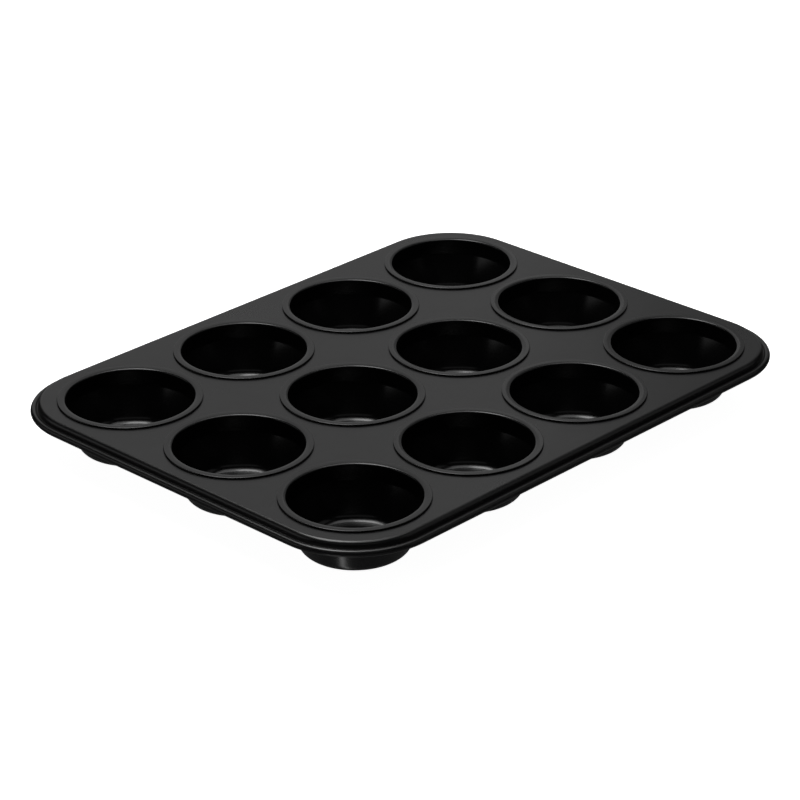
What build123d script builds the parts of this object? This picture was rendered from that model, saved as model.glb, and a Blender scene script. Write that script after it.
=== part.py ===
from build123d import *
from math import asin, atan2, cos, degrees, radians, sin, sqrt
import os

# Twelve-cup muffin tin: a flat sheet-steel frame with a wired edge, and twelve drawn cups
# seamed into its holes. Millimetres, +Z up. The origin is on the surface that the cups
# stand on, under the middle of the tin. X runs along the rows of four cups.

# Driving dimensions
overall_length = 350.0
overall_height = 29.2
cup_pitch = 82.75
columns = "abcd"
rows = "123"

frame_sheet = 0.6
cup_sheet = 0.5

# Cup: hemmed flange that dips gently to a rounded lip, neck, pleat and tapered wall
flange_radius = 38.5
hem_width = 2.0
neck_radius = 34.1
dip_radius = 6.0
dip_turn = 16.0
lip_radius = 0.9
base_radius = 29.0
base_round = 6.0
neck_to_wall_round = 3.0
neck_length = 7.5
hole_clearance = 0.2
pleat_overlap = 0.7
pleat_clearance = 0.05
fold_roundness = 0.9

# Frame edge: rounded shoulder, short skirt, and a curl over the rim wire
corner_offset = 4.0
edge_round = 2.6
edge_to_bead = 3.9
bead_radius = 1.8
bead_depth = 4.8
crease_round = 0.4
curl_turn = 305.0
wire_clearance = 0.05

# Worked out from the driving dimensions
flange_thickness = 2 * cup_sheet
fold_round = fold_roundness * cup_sheet
plate_top = overall_height - flange_thickness
rim_reach = (overall_length - (len(columns) - 1) * cup_pitch) / 2
edge_reach = rim_reach - edge_to_bead
bead_reach = rim_reach - bead_radius
flat_reach = edge_reach - edge_round
wire_radius = bead_radius - frame_sheet - wire_clearance
bead_height = plate_top - bead_depth
dip = radians(dip_turn)
lip_width = dip_radius * sin(dip) + lip_radius * (1 - sin(dip))
lip_drop = dip_radius * (1 - cos(dip)) + lip_radius * cos(dip)


def walk(start, heading, moves, offset):
    """Edges of a path of lines and arcs, kept at an offset to the left of the moves.

    A move is (length, 0) for a straight run, or (radius, turn) for an arc, with the turn
    in degrees, positive to the left.
    """
    normal = Vector(0, 1).rotate(Axis.Z, heading)
    position = Vector(*start) + normal * offset
    edges = []
    for size, turn in moves:
        direction = Vector(1, 0).rotate(Axis.Z, heading)
        if turn == 0:
            edge = Line(position, position + direction * size)
        else:
            radius = size - offset if turn > 0 else size + offset
            edge = JernArc(position, direction, radius, turn)
        edges.append(edge)
        position = edge @ 1
        heading += turn
    return edges


def strip(start, heading, moves, thickness):
    """Section of folded sheet: a band of one thickness along a path, closed at both ends."""
    left = walk(start, heading, moves, thickness / 2)
    right = walk(start, heading, moves, -thickness / 2)
    ends = [Line(left[0] @ 0, right[0] @ 0), Line(left[-1] @ 1, right[-1] @ 1)]
    return make_face(left + right + ends)


def cup_positions():
    """Name and centre of each cup: letters along X, numbers along Y."""
    for i, column in enumerate(columns):
        for j, row in enumerate(rows):
            x = (i - (len(columns) - 1) / 2) * cup_pitch
            y = (j - (len(rows) - 1) / 2) * cup_pitch
            yield f"cup_{column}{row}", x, y


def cup_wall(drop, inset):
    """Moves from the vertical neck to the flat base: bend, straight taper, base rounding."""
    top_round = neck_to_wall_round
    bottom_round = base_round - cup_sheet / 2
    down = drop - bottom_round
    across = inset - top_round
    difference = bottom_round - top_round
    taper_length = sqrt(down ** 2 + across ** 2 - difference ** 2)
    taper = degrees(atan2(across, down) - atan2(difference, taper_length))
    return [(top_round, -taper), (taper_length, 0), (bottom_round, -(90 - taper))]


def cup():
    """One drawn cup about its own axis, from the flange on the frame down to the base."""
    half = cup_sheet / 2
    fold_line = flange_radius - cup_sheet
    flat = fold_line - neck_radius - lip_width
    base_flat = base_radius - base_round
    drop = overall_height - lip_drop - neck_length - half
    moves = [(flat, 0), (dip_radius - half, dip_turn), (lip_radius - half, 90 - dip_turn)]
    moves += [(neck_length, 0)]
    moves += cup_wall(drop, neck_radius + half - base_flat)
    moves += [(base_flat, 0)]
    sheet = strip((fold_line, overall_height - half), 180, moves, cup_sheet)
    section = sheet + hem() + pleat()
    return revolve(Plane.XZ * section, Axis.Z)


def pressed_fold(inner, outer, top):
    """Section of a fold pressed flat: two layers, rounded outside. X is outwards, Y is up."""
    middle = ((inner + outer) / 2, top - cup_sheet)
    section = Pos(*middle) * Rectangle(outer - inner, 2 * cup_sheet)
    corners = section.vertices().group_by(Axis.X)[-1]
    return fillet(corners, fold_round)


def hem():
    """The flange's edge turned under itself and pressed flat."""
    return pressed_fold(flange_radius - hem_width, flange_radius, overall_height)


def pleat():
    """The neck's wall folded out flat under the frame sheet, so the cup can't lift out."""
    top = plate_top - frame_sheet - pleat_clearance
    inner = neck_radius + cup_sheet / 2
    return pressed_fold(inner, hole_radius() + pleat_overlap, top)


def rounded_outline(reach):
    """Rounded rectangle at a distance outside the lines through the outer cup centres."""
    length = (len(columns) - 1) * cup_pitch + 2 * reach
    width = (len(rows) - 1) * cup_pitch + 2 * reach
    return RectangleRounded(length, width, reach - corner_offset)


def frame_edge_moves():
    """Moves across the frame's edge: shoulder, skirt, crease, and the curl over the wire."""
    half = frame_sheet / 2
    crease_to_bead = bead_reach - edge_reach - crease_round
    lean = asin(crease_to_bead / (crease_round + bead_radius))
    crease_depth = bead_depth - (crease_round + bead_radius) * cos(lean)
    return [
        (edge_round - half, -90),
        (crease_depth - edge_round, 0),
        (crease_round + half, 90 + degrees(lean)),
        (bead_radius - half, -curl_turn),
    ]


def along_rim(section, reach):
    """Sweep a section round the rim. It is drawn with X = reach outwards and Y = height."""
    path = rounded_outline(reach).wire()
    start = path @ 0
    outward = (path % 0).cross(Vector(0, 0, 1))
    if outward.dot(start) < 0:
        outward = outward * -1
    plane = Plane(origin=start, x_dir=outward, z_dir=outward.cross(Vector(0, 0, 1)))
    return sweep(plane * Pos(-reach, 0) * section, path)


def hole_radius():
    """Hole that clears the underside of the cup's lip where it passes the top of the sheet."""
    under_lip = lip_radius - cup_sheet
    lip_centre_height = flange_thickness - lip_drop
    lip_edge = neck_radius + lip_radius - sqrt(under_lip ** 2 - lip_centre_height ** 2)
    return lip_edge + hole_clearance


def frame():
    """Top sheet with twelve holes and the folded edge, as one piece of steel."""
    plate = Pos(0, 0, plate_top - frame_sheet) * extrude(rounded_outline(flat_reach), frame_sheet)
    start = (flat_reach, plate_top - frame_sheet / 2)
    edge = along_rim(strip(start, 0, frame_edge_moves(), frame_sheet), flat_reach)
    sheet = plate + edge
    for _, x, y in cup_positions():
        sheet -= Pos(x, y, plate_top) * Cylinder(hole_radius(), 4 * frame_sheet)
    return sheet


def rim_wire():
    """Steel wire that runs inside the curl, all the way round."""
    return along_rim(Pos(bead_reach, bead_height) * Circle(wire_radius), bead_reach)


def save(name, solid, colour):
    solid.label = name
    solid.color = Color(colour)
    export_step(solid, f"parts/{name}.step")


os.makedirs("parts", exist_ok=True)
save("frame", frame(), "gray20")
save("rim_wire", rim_wire(), "gray70")
one_cup = cup()
for cup_name, cup_x, cup_y in cup_positions():
    save(cup_name, Pos(cup_x, cup_y, 0) * one_cup, "gray30")
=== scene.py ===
"""Twelve-cup muffin tin in satin black coated sheet steel: fine meshes, materials and studio.

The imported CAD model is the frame. Each visible node is replaced by a finer mesh of the same
shape: the sheet-metal sections of part.py are repeated here in metres, walked out with short
arc steps, and turned about each cup's own axis or carried round the rim.
"""

from collections import namedtuple
from math import asin, atan2, ceil, cos, degrees, pi, radians, sin, sqrt

import bmesh
import bpy
from mathutils import Matrix, Quaternion, Vector, geometry


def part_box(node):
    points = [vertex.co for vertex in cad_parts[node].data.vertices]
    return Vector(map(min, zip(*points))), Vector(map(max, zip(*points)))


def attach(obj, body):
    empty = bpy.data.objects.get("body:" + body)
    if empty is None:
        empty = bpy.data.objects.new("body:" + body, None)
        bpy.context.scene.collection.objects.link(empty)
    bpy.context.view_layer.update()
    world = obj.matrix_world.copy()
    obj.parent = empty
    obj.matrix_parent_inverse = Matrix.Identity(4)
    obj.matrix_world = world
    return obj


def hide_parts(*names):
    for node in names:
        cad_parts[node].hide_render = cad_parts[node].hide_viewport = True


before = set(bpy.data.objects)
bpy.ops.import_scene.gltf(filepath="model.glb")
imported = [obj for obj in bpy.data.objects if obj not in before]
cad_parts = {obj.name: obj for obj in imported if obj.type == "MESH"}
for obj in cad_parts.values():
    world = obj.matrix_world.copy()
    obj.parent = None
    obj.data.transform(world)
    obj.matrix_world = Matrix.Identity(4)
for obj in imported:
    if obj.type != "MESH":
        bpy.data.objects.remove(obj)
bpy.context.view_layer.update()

MM = 0.001
BODY = "root"

# Sheet and wire
FRAME_SHEET = 0.6 * MM
CUP_SHEET = 0.5 * MM
WIRE_CLEARANCE = 0.05 * MM

# Cup section, from the hem on the frame to the base
FLANGE_RADIUS = 38.5 * MM
HEM_WIDTH = 2.0 * MM
NECK_RADIUS = 34.1 * MM
DIP_RADIUS = 6.0 * MM
DIP_TURN = 16.0
LIP_RADIUS = 0.9 * MM
BASE_RADIUS = 29.0 * MM
BASE_ROUND = 6.0 * MM
NECK_TO_WALL_ROUND = 3.0 * MM
NECK_LENGTH = 7.5 * MM
HOLE_CLEARANCE = 0.2 * MM
PLEAT_OVERLAP = 0.7 * MM
PLEAT_CLEARANCE = 0.05 * MM
FOLD_ROUND = 0.9 * CUP_SHEET

# Frame edge section, from the flat sheet to the end of the curl
CORNER_OFFSET = 4.0 * MM
EDGE_ROUND = 2.6 * MM
EDGE_TO_BEAD = 3.9 * MM
BEAD_RADIUS = 1.8 * MM
BEAD_DEPTH = 4.8 * MM
CREASE_ROUND = 0.4 * MM
CURL_TURN = 305.0

# Mesh fineness
ARC_STEP = 8.0
TURN_STEPS = 144
CORNER_STEPS = 40
WIRE_STEPS = 20
SUPPORT = 0.25 * MM
ON_AXIS = 0.0001 * MM
MERGE_DISTANCE = 1e-9
TRIANGLES_INSIDE = 1
SHARP_ANGLE = 30.0

# Coating: how many features of each pattern fit in a metre, how deep they stand, and how much
# the grain changes the tone. The shares say what the roughness follows.
PATCH_SCALE = 22.0
PEEL_SCALE = 650.0
PEEL_DEPTH = 0.004 * MM
GRAIN_SCALE = 3800.0
GRAIN_DEPTH = 0.0015 * MM
DARK_GRAIN = 0.75
LIGHT_GRAIN = 1.35
PATCH_SHARE = 0.6
GRAIN_SHARE = 0.4

# Range that most values of a noise pattern lie in
PATTERN_LOW = 0.3
PATTERN_HIGH = 0.7

# Floor
FLOOR_SIZE = 8.0
FLOOR_GAP = 0.05 * MM
FLOOR_GLOW = 0.97

# Camera, in degrees and metres, with the lens and sensor in millimetres
CAMERA_AZIMUTH = -46.2008
CAMERA_ELEVATION = 25.4599
CAMERA_ROLL = -0.2853
CAMERA_DISTANCE = 1.61808
AIM_X = -30.011 * MM
AIM_Y = -23.662 * MM
AIM_ABOVE_PLATE = 0.6 * MM
LENS = 138.854
SENSOR_WIDTH = 36.0
VIEW_DEPTH = 50.0

# Light, in metres and degrees. A level says how bright a thing looks, where white is 1.
ROOM_LEVEL = 0.002
BELOW_LEVEL = 0.06
HORIZON_BLEND = 0.3
LIGHTS_AIM_HEIGHT = 0.02

# Softboxes that face straight down, placed from the tin's middle as the camera sees it
Softbox = namedtuple("Softbox", "name beyond left height width length level")
SOFTBOXES = (
    Softbox("overhead_light", 0.39, 0.35, 1.6, 0.6, 1.06, 5.2),
    Softbox("overhead_fill", 0.39, 0.15, 1.7, 1.5, 1.6, 1.5),
)

# Panels that face the tin. Azimuth is from the camera: 180 is beyond the tin, -90 is left.
Panel = namedtuple("Panel", "name azimuth elevation distance width height level")
PANELS = (
    Panel("back_light", 193, 24, 2.4, 1.5, 2.15, 0.40),
    Panel("back_right_light", 160, 24, 2.4, 1.3, 2.15, 0.22),
    Panel("left_light", -85, 17, 1.8, 1.6, 0.6, 0.45),
    Panel("right_light", 90, 35, 1.8, 1.6, 1.2, 0.18),
    Panel("front_light", 0, 38, 2.4, 3.2, 0.7, 0.15),
)
GLOW = Panel("table_glow", -31, -62, 1.0, 0.08, 0.5, 2.4)

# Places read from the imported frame
CUPS = sorted(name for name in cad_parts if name.startswith("cup_"))
FRAME_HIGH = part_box("frame")[1]
PLATE_TOP = FRAME_HIGH[2]
FLANGE_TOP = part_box(CUPS[0])[1][2]


def cup_centre(name):
    low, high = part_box(name)
    return Vector(((low[0] + high[0]) / 2, (low[1] + high[1]) / 2, 0.0))


CENTRES = {name: cup_centre(name) for name in CUPS}
OUTER_X = max(centre.x for centre in CENTRES.values())
OUTER_Y = max(centre.y for centre in CENTRES.values())
RIM_REACH = FRAME_HIGH[0] - OUTER_X
EDGE_REACH = RIM_REACH - EDGE_TO_BEAD
BEAD_REACH = RIM_REACH - BEAD_RADIUS
FLAT_REACH = EDGE_REACH - EDGE_ROUND
BEAD_HEIGHT = PLATE_TOP - BEAD_DEPTH
WIRE_RADIUS = BEAD_RADIUS - FRAME_SHEET - WIRE_CLEARANCE
DIP = radians(DIP_TURN)
LIP_WIDTH = DIP_RADIUS * sin(DIP) + LIP_RADIUS * (1 - sin(DIP))
LIP_DROP = DIP_RADIUS * (1 - cos(DIP)) + LIP_RADIUS * cos(DIP)


# ---------------------------------------------------------------- sections

def walk(start, heading, moves, offset):
    """Points along lines and arcs, at an offset to the left. A straight run is (length, 0)."""
    angle = radians(heading)
    x = start[0] - offset * sin(angle)
    z = start[1] + offset * cos(angle)
    points = [(x, z)]
    for size, turn in moves:
        if turn == 0:
            for at in support_places(size):
                points.append((x + at * cos(angle), z + at * sin(angle)))
            x, z = points[-1]
            continue
        radius = size - offset if turn > 0 else size + offset
        side = 1 if turn > 0 else -1
        centre_x = x - side * radius * sin(angle)
        centre_z = z + side * radius * cos(angle)
        steps = max(2, ceil(abs(turn) / ARC_STEP))
        first = angle
        for step in range(1, steps + 1):
            angle = first + radians(turn) * step / steps
            x = centre_x + side * radius * sin(angle)
            z = centre_z - side * radius * cos(angle)
            points.append((x, z))
    return points


def support_places(length):
    """Where a straight run gets points: close to both ends, so that its face shades flat."""
    if length < 4 * SUPPORT:
        return [length]
    return [SUPPORT, length - SUPPORT, length]


def strip_sides(start, heading, moves, thickness):
    """Both faces of a folded sheet, as two lists of points in step with the moves."""
    left = walk(start, heading, moves, thickness / 2)
    right = walk(start, heading, moves, -thickness / 2)
    return left, right


def cup_wall(drop, inset):
    """Moves from the vertical neck to the flat base: bend, straight taper, base rounding."""
    top_round = NECK_TO_WALL_ROUND
    bottom_round = BASE_ROUND - CUP_SHEET / 2
    down = drop - bottom_round
    across = inset - top_round
    difference = bottom_round - top_round
    taper_length = sqrt(down ** 2 + across ** 2 - difference ** 2)
    taper = degrees(atan2(across, down) - atan2(difference, taper_length))
    return [(top_round, -taper), (taper_length, 0), (bottom_round, -(90 - taper))]


def pressed_fold(inner, outer, top):
    """Outline of a fold pressed flat, two sheets thick and rounded outside, from below."""
    bottom = top - 2 * CUP_SHEET
    side = 2 * (CUP_SHEET - FOLD_ROUND)
    bend = [(outer - FOLD_ROUND - inner, 0), (FOLD_ROUND, 90), (side, 0), (FOLD_ROUND, 90)]
    return walk((inner, bottom), 0, bend, 0)


def cup_section():
    """Outline of one cup, from the middle of its underside round to the middle of its floor."""
    half = CUP_SHEET / 2
    fold_line = FLANGE_RADIUS - CUP_SHEET
    flange = [
        (fold_line - NECK_RADIUS - LIP_WIDTH, 0),
        (DIP_RADIUS - half, DIP_TURN),
        (LIP_RADIUS - half, 90 - DIP_TURN),
    ]
    below, above = strip_sides((fold_line, FLANGE_TOP - half), 180, flange, CUP_SHEET)

    neck_low = FLANGE_TOP - LIP_DROP - NECK_LENGTH
    base_flat = BASE_RADIUS - BASE_ROUND
    wall = cup_wall(neck_low - half, NECK_RADIUS + half - base_flat) + [(base_flat, 0)]
    outside, inside = strip_sides((NECK_RADIUS + half, neck_low), 270, wall, CUP_SHEET)

    neck_outside = NECK_RADIUS + CUP_SHEET
    pleat_top = PLATE_TOP - FRAME_SHEET - PLEAT_CLEARANCE
    pleat = pressed_fold(neck_outside, hole_radius() + PLEAT_OVERLAP, pleat_top)
    pleat.append((neck_outside, pleat_top))
    hem_inside = FLANGE_RADIUS - HEM_WIDTH
    hem = [(hem_inside, FLANGE_TOP - CUP_SHEET)]
    hem += pressed_fold(hem_inside, FLANGE_RADIUS, FLANGE_TOP)
    underside = [place for place in reversed(below) if place[0] < hem_inside]
    return outside[::-1] + pleat + underside + hem + above + inside


def frame_edge_section():
    """Both faces of the frame's folded edge, from the flat sheet to the end of the curl."""
    half = FRAME_SHEET / 2
    crease_to_bead = BEAD_REACH - EDGE_REACH - CREASE_ROUND
    lean = asin(crease_to_bead / (CREASE_ROUND + BEAD_RADIUS))
    crease_depth = BEAD_DEPTH - (CREASE_ROUND + BEAD_RADIUS) * cos(lean)
    flat_run = 4 * SUPPORT
    moves = [
        (flat_run, 0),
        (EDGE_ROUND - half, -90),
        (crease_depth - EDGE_ROUND, 0),
        (CREASE_ROUND + half, 90 + degrees(lean)),
        (BEAD_RADIUS - half, -CURL_TURN),
    ]
    return strip_sides((FLAT_REACH - flat_run, PLATE_TOP - half), 0, moves, FRAME_SHEET)


def hole_radius():
    """Hole in the frame that clears the underside of a cup's lip."""
    under_lip = LIP_RADIUS - CUP_SHEET
    lip_centre_height = FLANGE_TOP - LIP_DROP - PLATE_TOP
    lip_edge = NECK_RADIUS + LIP_RADIUS - sqrt(under_lip ** 2 - lip_centre_height ** 2)
    return lip_edge + HOLE_CLEARANCE


# ---------------------------------------------------------------- meshes

def finish_mesh(name, bm):
    """Object from a bmesh, with outward normals, smooth except at sharp edges."""
    bmesh.ops.recalc_face_normals(bm, faces=bm.faces)
    mesh = bpy.data.meshes.new(name)
    bm.to_mesh(mesh)
    bm.free()
    mesh.shade_smooth()
    mesh.set_sharp_from_angle(angle=radians(SHARP_ANGLE))
    piece = bpy.data.objects.new(name, mesh)
    bpy.context.scene.collection.objects.link(piece)
    return piece


def join_rings(bm, rings):
    """Faces between neighbouring closed rings. A ring of one vertex closes with triangles."""
    for near, far in zip(rings, rings[1:]):
        count = max(len(near), len(far))
        for i in range(count):
            j = (i + 1) % count
            if len(near) == 1:
                bm.faces.new((near[0], far[j], far[i]))
            elif len(far) == 1:
                bm.faces.new((near[i], near[j], far[0]))
            else:
                bm.faces.new((near[i], near[j], far[j], far[i]))


def circle(bm, centre, radius, height):
    ring = []
    for step in range(TURN_STEPS):
        angle = 2 * pi * step / TURN_STEPS
        ring.append(bm.verts.new((
            centre.x + radius * cos(angle),
            centre.y + radius * sin(angle),
            height,
        )))
    return ring


def turned(name, outline, centre):
    """Solid turned about a vertical axis. The outline starts and ends on the axis."""
    bm = bmesh.new()
    rings = []
    for radius, height in outline:
        if radius < ON_AXIS:
            rings.append([bm.verts.new((centre.x, centre.y, height))])
            continue
        rings.append(circle(bm, centre, radius, height))
    join_rings(bm, rings)
    return finish_mesh(name, bm)


def rim_places(reach):
    """Points round a rounded rectangle at a reach outside the outer cup-centre lines."""
    radius = reach - CORNER_OFFSET
    corner_x = OUTER_X + CORNER_OFFSET
    corner_y = OUTER_Y + CORNER_OFFSET
    places = []
    for quarter, (side_x, side_y) in enumerate(((1, 1), (-1, 1), (-1, -1), (1, -1))):
        for step in range(CORNER_STEPS + 1):
            angle = radians(90) * (quarter + step / CORNER_STEPS)
            places.append((
                side_x * corner_x + radius * cos(angle),
                side_y * corner_y + radius * sin(angle),
            ))
    return places


def rim_ring(bm, reach, height):
    return [bm.verts.new((x, y, height)) for x, y in rim_places(reach)]


def flat_triangles(outline, holes):
    """Triangles, as index triples, of a flat outline with round holes left open."""
    loops = [outline] + [ring for _, ring in holes]
    points = [Vector(vert.co[:2]) for ring in loops for vert in ring]
    edges = []
    for ring in loops:
        first = len(edges)
        edges += [(first + i, first + (i + 1) % len(ring)) for i in range(len(ring))]
    result = geometry.delaunay_2d_cdt(points, edges, [], TRIANGLES_INSIDE, MERGE_DISTANCE)
    _, _, faces, origins, _, _ = result
    limit = hole_radius()
    kept = []
    for face in faces:
        triple = [origins[corner][0] for corner in face]
        middle = sum((points[corner] for corner in triple), Vector((0, 0))) / 3
        if all((middle - centre.to_2d()).length > limit for centre, _ in holes):
            kept.append(triple)
    return kept


def frame_piece():
    """The frame sheet: flat top with twelve holes, and the edge carried round the rim."""
    bm = bmesh.new()
    upper, lower = frame_edge_section()
    outline = upper + lower[::-1]
    rings = [rim_ring(bm, reach, height) for reach, height in outline]
    join_rings(bm, rings)
    sides = []
    for rim, height in ((rings[0], PLATE_TOP), (rings[-1], PLATE_TOP - FRAME_SHEET)):
        holes = [
            (CENTRES[name], circle(bm, CENTRES[name], hole_radius(), height)) for name in CUPS
        ]
        sides.append((rim, holes))
    triangles = flat_triangles(*sides[0])
    for rim, holes in sides:
        verts = rim + [vert for _, ring in holes for vert in ring]
        for triple in triangles:
            bm.faces.new([verts[corner] for corner in triple])
    for (_, above), (_, below) in zip(sides[0][1], sides[1][1]):
        join_rings(bm, [above, below])
    return finish_mesh("frame_sheet", bm)


def wire_piece():
    """The wire inside the curl: a closed ring of round section."""
    bm = bmesh.new()
    rings = []
    for step in range(WIRE_STEPS):
        angle = 2 * pi * step / WIRE_STEPS
        reach = BEAD_REACH + WIRE_RADIUS * cos(angle)
        rings.append(rim_ring(bm, reach, BEAD_HEIGHT + WIRE_RADIUS * sin(angle)))
    join_rings(bm, rings + rings[:1])
    return finish_mesh("edge_wire", bm)


def cup_piece(name):
    """One cup, with its hem, lip, seam pleat, tapered wall and base."""
    return turned(f"{name}_shell", cup_section(), CENTRES[name])


# ---------------------------------------------------------------- materials

def new_material(name):
    """A material, with its nodes, its links and the shader that the file starts with."""
    material = bpy.data.materials.new(name)
    material.use_nodes = True
    nodes = material.node_tree.nodes
    return material, nodes, material.node_tree.links, nodes["Principled BSDF"]


def noise(nodes, links, coordinates, scale, detail=3.0, roughness=0.5):
    """Soft random pattern, with scale in features per metre."""
    node = nodes.new("ShaderNodeTexNoise")
    node.inputs["Scale"].default_value = scale
    node.inputs["Detail"].default_value = detail
    node.inputs["Roughness"].default_value = roughness
    links.new(coordinates, node.inputs["Vector"])
    return node.outputs["Fac"]


def spread(nodes, links, value, low, high):
    """A 0 to 1 texture value mapped from its usual middle range to low..high."""
    node = nodes.new("ShaderNodeMapRange")
    node.inputs["From Min"].default_value = PATTERN_LOW
    node.inputs["From Max"].default_value = PATTERN_HIGH
    node.inputs["To Min"].default_value = low
    node.inputs["To Max"].default_value = high
    links.new(value, node.inputs["Value"])
    return node.outputs["Result"]


def bump(nodes, links, height, distance, normal=None):
    """Normal of a surface raised by a pattern up to a distance, over another normal."""
    node = nodes.new("ShaderNodeBump")
    node.inputs["Distance"].default_value = distance
    node.inputs["Strength"].default_value = 1.0
    links.new(height, node.inputs["Height"])
    if normal is not None:
        links.new(normal, node.inputs["Normal"])
    return node.outputs["Normal"]


def coated_steel(name, tone, rough_low, rough_high, sheet_wave):
    """Sprayed non-stick coating: near-black, satin, with a fine grain and soft orange peel."""
    material, nodes, links, shader = new_material(name)
    coordinates = nodes.new("ShaderNodeTexCoord").outputs["Object"]
    patches = noise(nodes, links, coordinates, PATCH_SCALE, detail=2.0)
    peel = noise(nodes, links, coordinates, PEEL_SCALE, detail=2.0, roughness=0.4)
    grain = noise(nodes, links, coordinates, GRAIN_SCALE, detail=2.0, roughness=0.6)

    colour = nodes.new("ShaderNodeMix")
    colour.data_type = "RGBA"
    dark = [channel * DARK_GRAIN for channel in tone]
    light = [channel * LIGHT_GRAIN for channel in tone]
    colour.inputs["A"].default_value = (*dark, 1.0)
    colour.inputs["B"].default_value = (*light, 1.0)
    links.new(grain, colour.inputs["Factor"])
    links.new(colour.outputs["Result"], shader.inputs["Base Color"])

    mixed = nodes.new("ShaderNodeMath")
    mixed.operation = "MULTIPLY_ADD"
    mixed.inputs[1].default_value = PATCH_SHARE
    links.new(patches, mixed.inputs[0])
    share = nodes.new("ShaderNodeMath")
    share.operation = "MULTIPLY"
    share.inputs[1].default_value = GRAIN_SHARE
    links.new(grain, share.inputs[0])
    links.new(share.outputs["Value"], mixed.inputs[2])
    rough = spread(nodes, links, mixed.outputs["Value"], rough_low, rough_high)
    links.new(rough, shader.inputs["Roughness"])

    normal = bump(nodes, links, patches, sheet_wave)
    normal = bump(nodes, links, peel, PEEL_DEPTH, normal)
    normal = bump(nodes, links, grain, GRAIN_DEPTH, normal)
    links.new(normal, shader.inputs["Normal"])
    shader.inputs["IOR"].default_value = 1.5
    return material


def drawn_wire_steel():
    """Bare drawn steel: dull grey, with a fine roughness and a slight unevenness."""
    material, nodes, links, shader = new_material("drawn_wire_steel")
    coordinates = nodes.new("ShaderNodeTexCoord").outputs["Object"]
    fine = noise(nodes, links, coordinates, scale=2500.0)
    broad = noise(nodes, links, coordinates, scale=90.0, detail=2.0)
    ramp = nodes.new("ShaderNodeValToRGB")
    ramp.color_ramp.elements[0].color = (0.30, 0.30, 0.31, 1.0)
    ramp.color_ramp.elements[1].color = (0.52, 0.52, 0.52, 1.0)
    links.new(broad, ramp.inputs["Fac"])
    links.new(ramp.outputs["Color"], shader.inputs["Base Color"])
    shader.inputs["Metallic"].default_value = 1.0
    rough = spread(nodes, links, fine, low=0.32, high=0.48)
    links.new(rough, shader.inputs["Roughness"])
    normal = bump(nodes, links, fine, distance=0.003 * MM)
    links.new(normal, shader.inputs["Normal"])
    return material


def studio_floor():
    """Plain pale floor, almost white, with a trace of unevenness."""
    material, nodes, links, shader = new_material("studio_floor")
    coordinates = nodes.new("ShaderNodeTexCoord").outputs["Object"]
    unevenness = noise(nodes, links, coordinates, scale=3.0)
    tone = spread(nodes, links, unevenness, low=0.80, high=0.83)
    colour = nodes.new("ShaderNodeCombineColor")
    for channel in ("Red", "Green", "Blue"):
        links.new(tone, colour.inputs[channel])
    links.new(colour.outputs["Color"], shader.inputs["Base Color"])
    shader.inputs["Roughness"].default_value = 0.9
    shader.inputs["Specular IOR Level"].default_value = 0.0
    shader.inputs["Emission Color"].default_value = (1.0, 1.0, 1.0, 1.0)
    shader.inputs["Emission Strength"].default_value = FLOOR_GLOW
    return material


# ---------------------------------------------------------------- pieces

def add(piece, node, material):
    """Put a finished piece on the body, in place of its CAD node."""
    piece.data.materials.append(material)
    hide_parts(node)
    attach(piece, BODY)


frame_coating = coated_steel(
    "frame_coating_fine",
    tone=(0.0025, 0.0025, 0.0026),
    rough_low=0.26,
    rough_high=0.32,
    sheet_wave=0.30 * MM,
)
cup_coating = coated_steel(
    "cup_coating_fine",
    tone=(0.0022, 0.0022, 0.0023),
    rough_low=0.19,
    rough_high=0.24,
    sheet_wave=0.10 * MM,
)
add(frame_piece(), "frame", frame_coating)
add(wire_piece(), "rim_wire", drawn_wire_steel())
for cup_name in CUPS:
    add(cup_piece(cup_name), cup_name, cup_coating)


# ---------------------------------------------------------------- studio

def floor():
    """Wide flat floor that reflections don't show and that lets light from below through."""
    mesh = bpy.data.meshes.new("floor")
    half = FLOOR_SIZE / 2
    plan = ((-half, -half), (half, -half), (half, half), (-half, half))
    corners = [(x, y, -FLOOR_GAP) for x, y in plan]
    mesh.from_pydata(corners, [], [(0, 1, 2, 3)])
    plane = bpy.data.objects.new("floor", mesh)
    bpy.context.scene.collection.objects.link(plane)
    mesh.materials.append(studio_floor())
    plane.visible_glossy = False
    plane.visible_shadow = False


def area_light(name, centre, target, width, height, level, turn=0.0):
    """Rectangular soft light that faces a target. A mirror would show it at its level."""
    data = bpy.data.lights.new(name, "AREA")
    data.shape = "RECTANGLE"
    data.size = width
    data.size_y = height
    data.energy = level * width * height * pi
    light = bpy.data.objects.new(name, data)
    light.location = centre
    light.rotation_mode = "QUATERNION"
    facing = (target - centre).to_track_quat("-Z", "Y")
    light.rotation_quaternion = Quaternion((0.0, 0.0, 1.0), turn) @ facing
    bpy.context.scene.collection.objects.link(light)
    return light


def around(azimuth, elevation, distance):
    """A point round the tin. Azimuth 0 is towards -Y and 90 towards +X, as for the camera."""
    turn = radians(azimuth)
    rise = radians(elevation)
    return Vector((
        sin(turn) * cos(rise) * distance,
        -cos(turn) * cos(rise) * distance,
        sin(rise) * distance,
    ))


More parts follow.
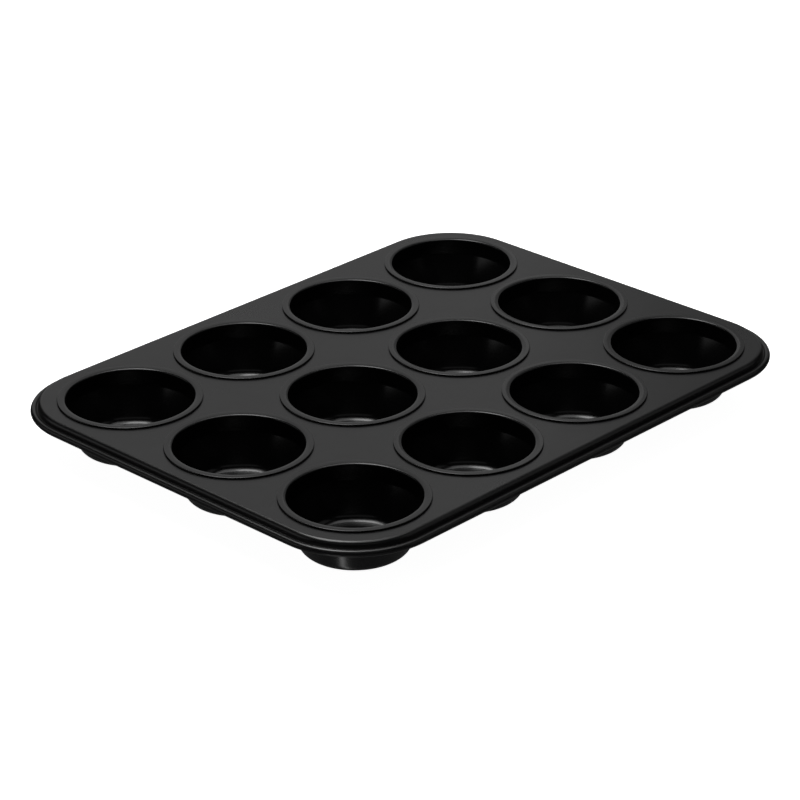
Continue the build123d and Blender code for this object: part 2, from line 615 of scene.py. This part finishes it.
def camera():
    """Long lens that looks at one corner of the tin, from about 25 degrees above it."""
    aim = Vector((AIM_X, AIM_Y, PLATE_TOP + AIM_ABOVE_PLATE))
    back = around(CAMERA_AZIMUTH, CAMERA_ELEVATION, 1.0)
    right = Vector((0, 0, 1)).cross(back).normalized()
    up = back.cross(right)
    tilt = radians(CAMERA_ROLL)
    level_right = right * cos(tilt) + up * sin(tilt)
    level_up = up * cos(tilt) - right * sin(tilt)
    data = bpy.data.cameras.new("camera")
    data.sensor_width = SENSOR_WIDTH
    data.lens = LENS
    data.clip_end = VIEW_DEPTH
    shot = bpy.data.objects.new("camera", data)
    rotation = Matrix((level_right, level_up, back)).transposed()
    shot.matrix_world = Matrix.Translation(aim + back * CAMERA_DISTANCE) @ rotation.to_4x4()
    bpy.context.scene.collection.objects.link(shot)
    bpy.context.scene.camera = shot


def surroundings():
    """Dim room: darker above the horizon than below it, where a pale table would be."""
    world = bpy.data.worlds.new("studio")
    world.use_nodes = True
    nodes = world.node_tree.nodes
    links = world.node_tree.links
    direction = nodes.new("ShaderNodeTexCoord").outputs["Generated"]
    parts = nodes.new("ShaderNodeSeparateXYZ")
    links.new(direction, parts.inputs["Vector"])
    level = nodes.new("ShaderNodeMapRange")
    level.inputs["From Min"].default_value = -HORIZON_BLEND
    level.inputs["From Max"].default_value = 0.0
    level.inputs["To Min"].default_value = BELOW_LEVEL
    level.inputs["To Max"].default_value = ROOM_LEVEL
    links.new(parts.outputs["Z"], level.inputs["Value"])
    nodes["Background"].inputs["Color"].default_value = (1.0, 1.0, 1.0, 1.0)
    links.new(level.outputs["Result"], nodes["Background"].inputs["Strength"])
    bpy.context.scene.world = world


def softbox(box):
    """Light that faces straight down, with its sides along and across the camera's view."""
    place = around(CAMERA_AZIMUTH + 180, 0, box.beyond)
    place += around(CAMERA_AZIMUTH - 90, 0, box.left)
    place.z = box.height
    below = place - Vector((0.0, 0.0, 1.0))
    turn = radians(CAMERA_AZIMUTH)
    area_light(box.name, place, below, box.width, box.length, box.level, turn)


def panel(light):
    """Light that faces the middle of the tin."""
    place = around(CAMERA_AZIMUTH + light.azimuth, light.elevation, light.distance)
    middle = Vector((0.0, 0.0, LIGHTS_AIM_HEIGHT))
    return area_light(light.name, place, middle, light.width, light.height, light.level)


def studio():
    """Softboxes overhead, wide panels beyond the tin, dim fill panels, and a glow below."""
    surroundings()
    for box in SOFTBOXES:
        softbox(box)
    for light in PANELS:
        panel(light)
    panel(GLOW).visible_camera = False
    bpy.context.scene.view_settings.view_transform = "Standard"


floor()
camera()
studio()
